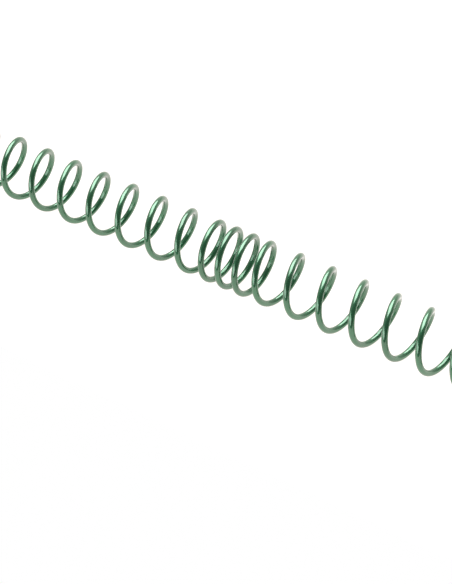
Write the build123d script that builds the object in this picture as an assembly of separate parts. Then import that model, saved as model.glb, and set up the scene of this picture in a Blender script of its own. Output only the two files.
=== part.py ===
from build123d import *
import os
from math import cos, floor, pi, sin

# A long helical compression spring, wound right-handed from one round wire and
# lying on its side along X. Its open coils close up to a short tight stretch in
# the middle of its length, and it ends in closed, flat-ground end coils.
# Units are millimetres. The origin is under the middle of the spring, on the
# surface that it lies on; +X runs along its axis.

# wire and coil
wire_diameter = 1.8
mean_coil_diameter = 16.0

# axial advance of the wire in one turn
open_pitch = 10.07
tight_pitch = 5.46
closed_pitch = 1.89

# where things happen along the wire, in turns; a whole number is on the +Y side
left_tip_turn = -4.5
right_tip_turn = 21.5
closed_turns = 1.0
lead_turns = 0.5
tight_start_turn = 6.97
tight_end_turn = 10.23
tight_ramp_turns = 0.53
end_ramp_turns = 0.75

# how much of the wire's thickness grinding leaves at each tip
tip_thickness = wire_diameter / 4

# the wire's centre line is drawn as tangent arcs, with this many to a turn and
# a short straight between two arcs
arcs_per_turn = 8
arc_share = 0.97

# half turns in the groups of coils that move, from left to right
half_turn = 0.5
coil_groups = [("left_open", 20), ("tight", 6), ("right_open", 20)]

wire_radius = wire_diameter / 2
coil_radius = mean_coil_diameter / 2
corner_radius = coil_radius / cos(pi / arcs_per_turn)
axis_height = coil_radius + wire_radius


def ramp(turn, middle, width):
    """The integral over the wire's turns of a step that rises evenly across width."""
    into = turn - (middle - width / 2)
    if into <= 0:
        return 0.0
    if into < width:
        return into * into / (2 * width)
    return into - width / 2


def wound_length(turn):
    """How far along the axis the wire has advanced, from an arbitrary zero."""
    left_ramp = left_tip_turn + closed_turns + end_ramp_turns / 2
    right_ramp = right_tip_turn - closed_turns - end_ramp_turns / 2
    opening = open_pitch - closed_pitch
    closing = tight_pitch - open_pitch
    return (
        closed_pitch * turn
        + opening * ramp(turn, left_ramp, end_ramp_turns)
        + closing * ramp(turn, tight_start_turn, tight_ramp_turns)
        - closing * ramp(turn, tight_end_turn, tight_ramp_turns)
        - opening * ramp(turn, right_ramp, end_ramp_turns)
    )


ground_off = wire_radius - tip_thickness
left_face_wound = wound_length(left_tip_turn) + ground_off
right_face_wound = wound_length(right_tip_turn) - ground_off
free_length = right_face_wound - left_face_wound
middle_wound = (left_face_wound + right_face_wound) / 2


def corner(index):
    """A corner of the polygon whose sides touch the wire's centre line."""
    turn = (index + 0.5) / arcs_per_turn
    angle = 2 * pi * turn
    return Vector(
        wound_length(turn) - middle_wound,
        corner_radius * cos(angle),
        corner_radius * sin(angle) + axis_height,
    )


def touch_point(turn):
    """Where the side at this turn touches the centre line; turn is a multiple of an arc."""
    index = round(turn * arcs_per_turn)
    return (corner(index - 1) + corner(index)) * 0.5


def wire_direction(turn):
    """The wire's direction where the side at this turn touches it."""
    index = round(turn * arcs_per_turn)
    return (corner(index) - corner(index - 1)).normalized()


def bend_radius(before, at, after):
    """The radius that rounds a corner and leaves a short straight on each side."""
    into = at - before
    out = after - at
    turned = into.get_angle(out) * pi / 180
    room = min(into.length, out.length) / 2
    return arc_share * room * cos(turned / 2) / sin(turned / 2)


def centre_line(first_turn, last_turn):
    """The wire's centre line between two turns, as arcs and short straights."""
    low = floor(first_turn * arcs_per_turn + 0.5)
    high = floor(last_turn * arcs_per_turn + 0.5)
    corners = [corner(index) for index in range(low - 1, high + 1)]
    radii = [
        bend_radius(*corners[number - 1 : number + 2])
        for number in range(1, len(corners) - 1)
    ]
    points = [touch_point(first_turn), *corners[1:-1], touch_point(last_turn)]
    return FilletPolyline(*points, radius=radii)


def coil(first_turn, last_turn):
    """The solid wire between two turns."""
    start = Plane(origin=touch_point(first_turn), z_dir=wire_direction(first_turn))
    section = start * Circle(wire_radius)
    return sweep(section, path=centre_line(first_turn, last_turn))


def grind(end_coil, side):
    """Cut an end coil flat across the spring's axis. side is -1 at the left end, 1 at the right."""
    depth = 2 * wire_diameter
    width = 2 * mean_coil_diameter
    middle = side * (free_length / 2 + depth / 2)
    wheel = Pos(middle, 0, axis_height) * Box(depth, width, width)
    return end_coil - wheel


def save(shape, node):
    shape.label = node
    export_step(shape, f"parts/{node}.step")


def half_turn_nodes():
    """The node name and the two turns of each half turn that moves, from left to right."""
    turn = left_tip_turn + closed_turns + lead_turns
    nodes = []
    for group, count in coil_groups:
        for number in range(1, count + 1):
            nodes.append((f"{group}_{number:02d}", turn, turn + half_turn))
            turn += half_turn
    return nodes


def build():
    os.makedirs("parts", exist_ok=True)
    left_closed_end = left_tip_turn + closed_turns
    right_closed_end = right_tip_turn - closed_turns
    save(grind(coil(left_tip_turn, left_closed_end), -1), "left_end_coil")
    save(coil(left_closed_end, left_closed_end + lead_turns), "left_lead_coil")
    for node, first_turn, last_turn in half_turn_nodes():
        save(coil(first_turn, last_turn), node)
    save(coil(right_closed_end - lead_turns, right_closed_end), "right_lead_coil")
    save(grind(coil(right_closed_end, right_tip_turn), 1), "right_end_coil")


build()
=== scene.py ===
import math

import bmesh
import bpy
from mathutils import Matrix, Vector


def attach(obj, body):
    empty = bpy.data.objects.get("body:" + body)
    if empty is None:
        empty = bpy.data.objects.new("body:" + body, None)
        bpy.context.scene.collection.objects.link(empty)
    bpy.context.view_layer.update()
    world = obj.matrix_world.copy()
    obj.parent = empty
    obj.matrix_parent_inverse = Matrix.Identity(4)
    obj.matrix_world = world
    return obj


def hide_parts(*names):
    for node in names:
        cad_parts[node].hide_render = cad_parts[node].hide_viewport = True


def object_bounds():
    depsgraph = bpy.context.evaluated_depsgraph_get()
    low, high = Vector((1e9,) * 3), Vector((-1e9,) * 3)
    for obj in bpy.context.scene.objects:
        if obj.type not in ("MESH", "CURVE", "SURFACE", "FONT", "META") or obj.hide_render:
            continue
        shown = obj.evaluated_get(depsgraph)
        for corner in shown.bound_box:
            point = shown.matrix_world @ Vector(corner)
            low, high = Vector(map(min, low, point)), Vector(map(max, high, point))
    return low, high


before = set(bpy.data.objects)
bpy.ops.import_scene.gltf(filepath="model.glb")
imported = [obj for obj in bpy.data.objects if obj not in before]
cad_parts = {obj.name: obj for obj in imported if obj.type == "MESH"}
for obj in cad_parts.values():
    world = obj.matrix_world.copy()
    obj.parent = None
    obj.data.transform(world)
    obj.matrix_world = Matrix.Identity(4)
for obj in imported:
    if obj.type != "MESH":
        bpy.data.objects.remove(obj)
cad_low, cad_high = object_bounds()

# A long green lacquered compression spring, lying on its side along X just over
# a white light table. Every node of the wire is drawn again as an exact helix.
# Units are metres.

# The wire's radius is given. The coil's mean radius, the spring's length and its
# axis come from the frame.
wire_radius = 0.0009
cad_middle = (cad_low + cad_high) / 2
coil_radius = (cad_high.z - cad_low.z) / 2 - wire_radius
half_length = (cad_high.x - cad_low.x) / 2

# How far the wire advances along the axis in one turn, and where that changes.
# Turns are counted along the wire, and a whole turn is on the +Y side.
open_pitch = 0.01007
tight_pitch = 0.00546
closed_pitch = 0.00189
left_tip_turn = -4.5
right_tip_turn = 21.5
closed_turns = 1.0
lead_turns = 0.5
tight_start_turn = 6.97
tight_end_turn = 10.23
tight_ramp_turns = 0.53
end_ramp_turns = 0.75
half_turn = 0.5
coil_groups = [("left_open", 20), ("tight", 6), ("right_open", 20)]

# How finely the wire is drawn: rings along it, and sides to a ring.
rings_per_turn = 96
sides = 32

# The light table: how far it is below the spring, how far its front edge is in
# front of the spring's axis, and how far it reaches the other ways. The coils
# widen by less than the gap as they close.
table_gap = 0.0004
table_front = 0.055
table_reach = 6.0

# The light: the softboxes' colour, the room's two shades, and the direction in
# which the room is palest, in degrees round from +X to +Y.
lamp_colour = (1.0, 0.92, 0.98)
room_dark = (0.15, 0.147, 0.143)
room_pale = (1.09, 0.97, 0.97)
backdrop_white = (1, 1, 1)
pale_azimuth = 125

# The camera: the spring's turn it looks at, the direction it stands in, how far
# below that turn it aims and how far off it stands, in coil radii, and its lens
# and sensor in millimetres.
seen_turn = 8.064
camera_azimuth = math.radians(32.48)
camera_elevation = math.radians(42.67)
aim_below = 1.264
camera_distance = 64.21
camera_lens = 113.8
camera_sensor = 36


def ramp(turn, middle, width):
    """The integral over the turns of a step that rises evenly across width."""
    into = min(max(turn - middle + width / 2, 0), width)
    past = max(turn - middle - width / 2, 0)
    return into * into / (2 * width) + past


def step(turn, middle, width):
    """A step from 0 to 1 that rises evenly across width."""
    return min(max((turn - middle) / width + 0.5, 0), 1)


def along_axis(turn, grow):
    """The sum of the closed pitch and its three changes, each grown by ramp or step."""
    left_ramp = left_tip_turn + closed_turns + end_ramp_turns / 2
    right_ramp = right_tip_turn - closed_turns - end_ramp_turns / 2
    opening = open_pitch - closed_pitch
    closing = tight_pitch - open_pitch
    return (
        opening * grow(turn, left_ramp, end_ramp_turns)
        + closing * grow(turn, tight_start_turn, tight_ramp_turns)
        - closing * grow(turn, tight_end_turn, tight_ramp_turns)
        - opening * grow(turn, right_ramp, end_ramp_turns)
    )


def wound_length(turn):
    """How far along the axis the wire has advanced, from an arbitrary zero."""
    return closed_pitch * turn + along_axis(turn, ramp)


middle_wound = (wound_length(left_tip_turn) + wound_length(right_tip_turn)) / 2


def outward(turn):
    """The direction from the axis to the wire."""
    angle = 2 * math.pi * turn
    return Vector((0, math.cos(angle), math.sin(angle)))


def axis_point(turn):
    """The point of the spring's axis beside the wire at this turn."""
    along = wound_length(turn) - middle_wound + cad_middle.x
    return Vector((along, cad_middle.y, cad_middle.z))


def centre(turn):
    """The wire's centre line."""
    return axis_point(turn) + outward(turn) * coil_radius


def wire_direction(turn):
    """The wire's direction."""
    pitch = closed_pitch + along_axis(turn, step)
    round_axis = Vector((1, 0, 0)).cross(outward(turn)) * (2 * math.pi * coil_radius)
    return (Vector((pitch, 0, 0)) + round_axis).normalized()


# ---- meshes ----


def ring(turn):
    """The wire's surface at one turn, as (point, normal, place on the straightened wire)."""
    out = outward(turn)
    across = wire_direction(turn).cross(out)
    wire_length = turn * 2 * math.pi * coil_radius
    made = []
    for side in range(sides):
        angle = 2 * math.pi * side / sides
        cosine, sine = math.cos(angle), math.sin(angle)
        normal = out * cosine + across * sine
        straight = Vector((cosine * wire_radius, sine * wire_radius, wire_length))
        made.append((centre(turn) + normal * wire_radius, normal, straight))
    return made


def add_rings(bm, first_turn, last_turn):
    """Add the wire's rings of vertices between two turns, and return them in order."""
    straight_layer = bm.verts.layers.float_vector.new("straight")
    normal_layer = bm.verts.layers.float_vector.new("side_normal")
    count = round((last_turn - first_turn) * rings_per_turn)
    rows = []
    for number in range(count + 1):
        turn = first_turn + (last_turn - first_turn) * number / count
        row = []
        for point, normal, straight in ring(turn):
            vertex = bm.verts.new(point)
            vertex[straight_layer] = straight
            vertex[normal_layer] = normal
            row.append(vertex)
        rows.append(row)
    return rows


def wire_mesh(name, first_turn, last_turn, ground_side=0):
    """The closed surface of the wire between two turns.

    ground_side is -1 or 1 at a flat-ground end.
    """
    bm = bmesh.new()
    rows = add_rings(bm, first_turn, last_turn)
    for row, following in zip(rows, rows[1:]):
        for side in range(sides):
            beside = (side + 1) % sides
            face = bm.faces.new((row[side], row[beside], following[beside], following[side]))
            face.smooth = True
    bm.faces.new(list(reversed(rows[0])))
    bm.faces.new(rows[-1])
    if ground_side:
        grind(bm, ground_side)
    mesh = bpy.data.meshes.new(name)
    bm.to_mesh(mesh)
    bm.free()
    set_normals(mesh)
    return mesh


def grind(bm, ground_side):
    """Cut an end coil flat across the spring's axis, and give the flat face material 1."""
    face_place = cad_middle + Vector((ground_side * half_length, 0, 0))
    out_of_end = Vector((ground_side, 0, 0))
    everything = list(bm.verts) + list(bm.edges) + list(bm.faces)
    cut = bmesh.ops.bisect_plane(
        bm, geom=everything, plane_co=face_place, plane_no=out_of_end, clear_outer=True
    )
    rim = [item for item in cut["geom_cut"] if isinstance(item, bmesh.types.BMEdge)]
    filled = bmesh.ops.triangle_fill(bm, edges=rim, use_beauty=True, normal=out_of_end)
    for item in filled["geom"]:
        if isinstance(item, bmesh.types.BMFace):
            item.material_index = 1
            item.smooth = False


def set_normals(mesh):
    """Give the wire's round side its exact normals, and the end faces flat ones."""
    side_normals = mesh.attributes["side_normal"].data
    normals = [None] * len(mesh.loops)
    for face in mesh.polygons:
        for index in face.loop_indices:
            if face.use_smooth:
                vertex_index = mesh.loops[index].vertex_index
                normals[index] = side_normals[vertex_index].vector.normalized()
            else:
                normals[index] = face.normal
    mesh.normals_split_custom_set([tuple(normal) for normal in normals])
    mesh.attributes.remove(mesh.attributes["side_normal"])


# ---- materials ----


def new_material(name):
    """A new material, with its node tree and its Principled shader."""
    material = bpy.data.materials.new(name)
    material.use_nodes = True
    shader = material.node_tree.nodes["Principled BSDF"]
    return material, material.node_tree, shader


def straight_place(tree):
    """Where a point lies on the straightened wire: two ways across it, then along it."""
    node = tree.nodes.new("ShaderNodeAttribute")
    node.attribute_name = "straight"
    return node.outputs["Vector"]


def scaled(tree, place, scale):
    """place times scale, each way."""
    node = tree.nodes.new("ShaderNodeVectorMath")
    node.operation = "MULTIPLY"
    tree.links.new(place, node.inputs[0])
    node.inputs[1].default_value = scale
    return node.outputs["Vector"]


def noise(tree, place, scale, detail=2.0, roughness=0.5):
    """Smooth noise from 0 to 1. scale is how many lumps there are in a metre, each way."""
    node = tree.nodes.new("ShaderNodeTexNoise")
    tree.links.new(scaled(tree, place, scale), node.inputs["Vector"])
    node.inputs["Scale"].default_value = 1.0
    node.inputs["Detail"].default_value = detail
    node.inputs["Roughness"].default_value = roughness
    return node.outputs["Fac"]


def spread(tree, value, low, high, to_low, to_high):
    """value from low to high, carried to to_low to to_high."""
    node = tree.nodes.new("ShaderNodeMapRange")
    tree.links.new(value, node.inputs["Value"])
    node.inputs["From Min"].default_value = low
    node.inputs["From Max"].default_value = high
    node.inputs["To Min"].default_value = to_low
    node.inputs["To Max"].default_value = to_high
    return node.outputs["Result"]


def mixed(tree, share, first, second):
    """first where share is 0, second where it is 1. Each is a colour or a socket."""
    node = tree.nodes.new("ShaderNodeMix")
    node.data_type = "RGBA"
    tree.links.new(share, node.inputs["Factor"])
    for name, colour in (("A", first), ("B", second)):
        socket = [s for s in node.inputs if s.name == name and s.type == "RGBA"][0]
        if isinstance(colour, bpy.types.NodeSocket):
            tree.links.new(colour, socket)
        else:
            socket.default_value = (*colour, 1)
    return [s for s in node.outputs if s.type == "RGBA"][0]


def bump(tree, height, depth, normal=None):
    """A bump depth metres deep."""
    node = tree.nodes.new("ShaderNodeBump")
    node.inputs["Strength"].default_value = 1.0
    node.inputs["Distance"].default_value = depth
    tree.links.new(height, node.inputs["Height"])
    if normal is not None:
        tree.links.new(normal, node.inputs["Normal"])
    return node.outputs["Normal"]


def make_lacquer():
    """Green metallic lacquer on drawn wire, under a clear gloss."""
    deep_green = (0.014, 0.124, 0.046)
    light_green = (0.020, 0.158, 0.060)
    flake_green = (0.06, 0.24, 0.11)
    drawn_line_depth = 0.0000005
    orange_peel_depth = 0.000002
    material, tree, shader = new_material("green_lacquer")
    place = straight_place(tree)
    thickness = noise(tree, place, (260, 260, 90), detail=3)
    flakes = noise(tree, place, (20000, 20000, 20000), detail=1)
    drawn_lines = noise(tree, place, (16000, 16000, 120), detail=2)
    orange_peel = noise(tree, place, (1500, 1500, 1100), detail=1)
    thinness = spread(tree, thickness, 0.35, 0.65, 0, 1)
    thick_and_thin = mixed(tree, thinness, deep_green, light_green)
    flake_share = spread(tree, flakes, 0.58, 0.72, 0, 0.25)
    colour = mixed(tree, flake_share, thick_and_thin, flake_green)
    roughness = spread(tree, drawn_lines, 0.3, 0.7, 0.22, 0.29)
    lines = bump(tree, drawn_lines, drawn_line_depth)
    tree.links.new(colour, shader.inputs["Base Color"])
    tree.links.new(roughness, shader.inputs["Roughness"])
    tree.links.new(bump(tree, orange_peel, orange_peel_depth, lines), shader.inputs["Normal"])
    shader.inputs["Metallic"].default_value = 0.7
    shader.inputs["Specular Tint"].default_value = (0.38, 0.40, 0.37, 1)
    shader.inputs["Coat Weight"].default_value = 1.0
    shader.inputs["Coat Roughness"].default_value = 0.06
    shader.inputs["Coat IOR"].default_value = 1.8
    return material


def make_ground_face():
    """The flat-ground seat: lacquer over grinding marks, with specks of bright steel."""
    lacquer_green = (0.017, 0.12, 0.047)
    bare_steel = (0.40, 0.42, 0.41)
    mark_depth = 0.000004
    material, tree, shader = new_material("ground_seat")
    place = tree.nodes.new("ShaderNodeTexCoord").outputs["Object"]
    marks = noise(tree, place, (400, 400, 14000), detail=3)
    rubbed = noise(tree, place, (2200, 2200, 5200), detail=4, roughness=0.65)
    bare = spread(tree, rubbed, 0.30, 0.42, 0.8, 0)
    colour = mixed(tree, bare, lacquer_green, bare_steel)
    roughness = spread(tree, marks, 0.3, 0.7, 0.22, 0.42)
    tree.links.new(colour, shader.inputs["Base Color"])
    tree.links.new(roughness, shader.inputs["Roughness"])
    tree.links.new(bump(tree, marks, mark_depth), shader.inputs["Normal"])
    shader.inputs["Metallic"].default_value = 0.8
    shader.inputs["Coat Weight"].default_value = 0.6
    shader.inputs["Coat Roughness"].default_value = 0.15
    return material


def make_floor_material():
    """A white light table: it glows evenly, so that the spring's shadow on it is faint."""
    dark_grey = (0.11, 0.11, 0.11)
    light_grey = (0.13, 0.13, 0.13)
    material, tree, shader = new_material("light_table")
    place = tree.nodes.new("ShaderNodeTexCoord").outputs["Object"]
    tooth = noise(tree, place, (900, 900, 900), detail=2)
    tree.links.new(mixed(tree, tooth, dark_grey, light_grey), shader.inputs["Base Color"])
    shader.inputs["Roughness"].default_value = 1.0
    shader.inputs["Specular IOR Level"].default_value = 0.0
    shader.inputs["Emission Color"].default_value = (1.0, 0.95, 0.90, 1)
    shader.inputs["Emission Strength"].default_value = 1.10
    return material


# ---- the spring ----


def half_turn_nodes():
    """The node name and the two turns of each half turn that moves, from left to right."""
    turn = left_tip_turn + closed_turns + lead_turns
    nodes = []
    for group, count in coil_groups:
        for number in range(1, count + 1):
            nodes.append((f"{group}_{number:02d}", turn, turn + half_turn))
            turn += half_turn
    return nodes


def add_wire(node, body, first_turn, last_turn, materials, ground_side=0):
    """Draw one node of the wire again and let it ride on its body."""
    name = f"{node}_lacquered"
    mesh = wire_mesh(name, first_turn, last_turn, ground_side)
    for material in materials:
        mesh.materials.append(material)
    piece = bpy.data.objects.new(name, mesh)
    bpy.context.scene.collection.objects.link(piece)
    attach(piece, body)
    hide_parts(node)


def add_spring():
    lacquer = make_lacquer()
    ground_face = make_ground_face()
    both = [lacquer, ground_face]
    left_closed_end = left_tip_turn + closed_turns
    left_opened = left_closed_end + lead_turns
    right_closed_end = right_tip_turn - closed_turns
    right_opened = right_closed_end - lead_turns
    add_wire("left_end_coil", "left_end", left_tip_turn, left_closed_end, both, -1)
    add_wire("left_lead_coil", "left_end", left_closed_end, left_opened, [lacquer])
    for node, first_turn, last_turn in half_turn_nodes():
        add_wire(node, node, first_turn, last_turn, [lacquer])
    add_wire("right_lead_coil", "right_end", right_opened, right_closed_end, [lacquer])
    add_wire("right_end_coil", "right_end", right_closed_end, right_tip_turn, both, 1)


# ---- the studio ----


def add_floor():
    """A light table just below the spring. Its front edge is near, and it reaches far back."""
    left, right = -table_reach, table_reach
    front, back = -table_front, table_reach
    corners = [(left, front), (right, front), (right, back), (left, back)]
    bm = bmesh.new()
    bm.faces.new([bm.verts.new((x, y, 0)) for x, y in corners])
    mesh = bpy.data.meshes.new("floor")
    bm.to_mesh(mesh)
    bm.free()
    mesh.materials.append(make_floor_material())
    floor = bpy.data.objects.new("floor", mesh)
    floor.location = (0, 0, cad_low.z - table_gap)
    bpy.context.scene.collection.objects.link(floor)


def direction(azimuth, elevation):
    """The direction from the spring, in degrees round from +X to +Y and up from the floor."""
    turn = math.radians(azimuth)
    rise = math.radians(elevation)
    level = math.cos(rise)
    return Vector((math.cos(turn) * level, math.sin(turn) * level, math.sin(rise)))


def add_softbox(name, azimuth, elevation, distance, width, height, brightness):
    """A rectangular soft light that faces the spring. brightness is its radiance."""
    light = bpy.data.lights.new(name, "AREA")
    light.shape = "RECTANGLE"
    light.size = width
    light.size_y = height
    light.energy = brightness * math.pi * width * height
    light.color = lamp_colour
    lamp = bpy.data.objects.new(name, light)
    towards = direction(azimuth, elevation)
    lamp.location = cad_middle + towards * distance
    lamp.rotation_mode = "QUATERNION"
    lamp.rotation_quaternion = towards.to_track_quat("Z", "Y")
    lamp.visible_camera = False
    bpy.context.scene.collection.objects.link(lamp)


def add_world():
    """A room that is pale behind the spring and dark in front of it, with a white backdrop."""
    world = bpy.data.worlds.new("studio")
    world.use_nodes = True
    tree = world.node_tree
    towards = tree.nodes.new("ShaderNodeTexCoord")
    facing = tree.nodes.new("ShaderNodeVectorMath")
    facing.operation = "DOT_PRODUCT"
    tree.links.new(towards.outputs["Generated"], facing.inputs[0])
    facing.inputs[1].default_value = direction(pale_azimuth, 0)
    paleness = spread(tree, facing.outputs["Value"], -0.5, 0.95, 0, 1)
    room = mixed(tree, paleness, room_dark, room_pale)
    seen = tree.nodes.new("ShaderNodeLightPath")
    backdrop = mixed(tree, seen.outputs["Is Camera Ray"], room, backdrop_white)
    tree.links.new(backdrop, tree.nodes["Background"].inputs["Color"])
    bpy.context.scene.world = world


def add_camera():
    """The camera looks down at the spring from in front and to its right."""
    back = Vector(
        (
            math.sin(camera_azimuth) * math.cos(camera_elevation),
            -math.cos(camera_azimuth) * math.cos(camera_elevation),
            math.sin(camera_elevation),
        )
    )
    right = Vector((math.cos(camera_azimuth), math.sin(camera_azimuth), 0))
    up = back.cross(right)
    aim = axis_point(seen_turn) - up * (aim_below * coil_radius)
    data = bpy.data.cameras.new("camera")
    data.lens = camera_lens
    data.sensor_width = camera_sensor
    data.clip_start = 0.01
    data.clip_end = 50
    camera = bpy.data.objects.new("camera", data)
    camera.location = aim + back * (camera_distance * coil_radius)
    camera.rotation_mode = "QUATERNION"
    camera.rotation_quaternion = (-back).to_track_quat("-Z", "Y")
    bpy.context.scene.collection.objects.link(camera)
    bpy.context.scene.camera = camera


add_camera()
add_spring()
add_floor()
add_softbox(
    "overhead_softbox",
    azimuth=130,
    elevation=69,
    distance=1.1,
    width=1.25,
    height=1.3,
    brightness=5.4,
)
add_softbox(
    "low_side_softbox",
    azimuth=-108,
    elevation=8,
    distance=1.0,
    width=1.3,
    height=0.5,
    brightness=2.9,
)
add_world()
bpy.context.scene.view_settings.view_transform = "Standard"
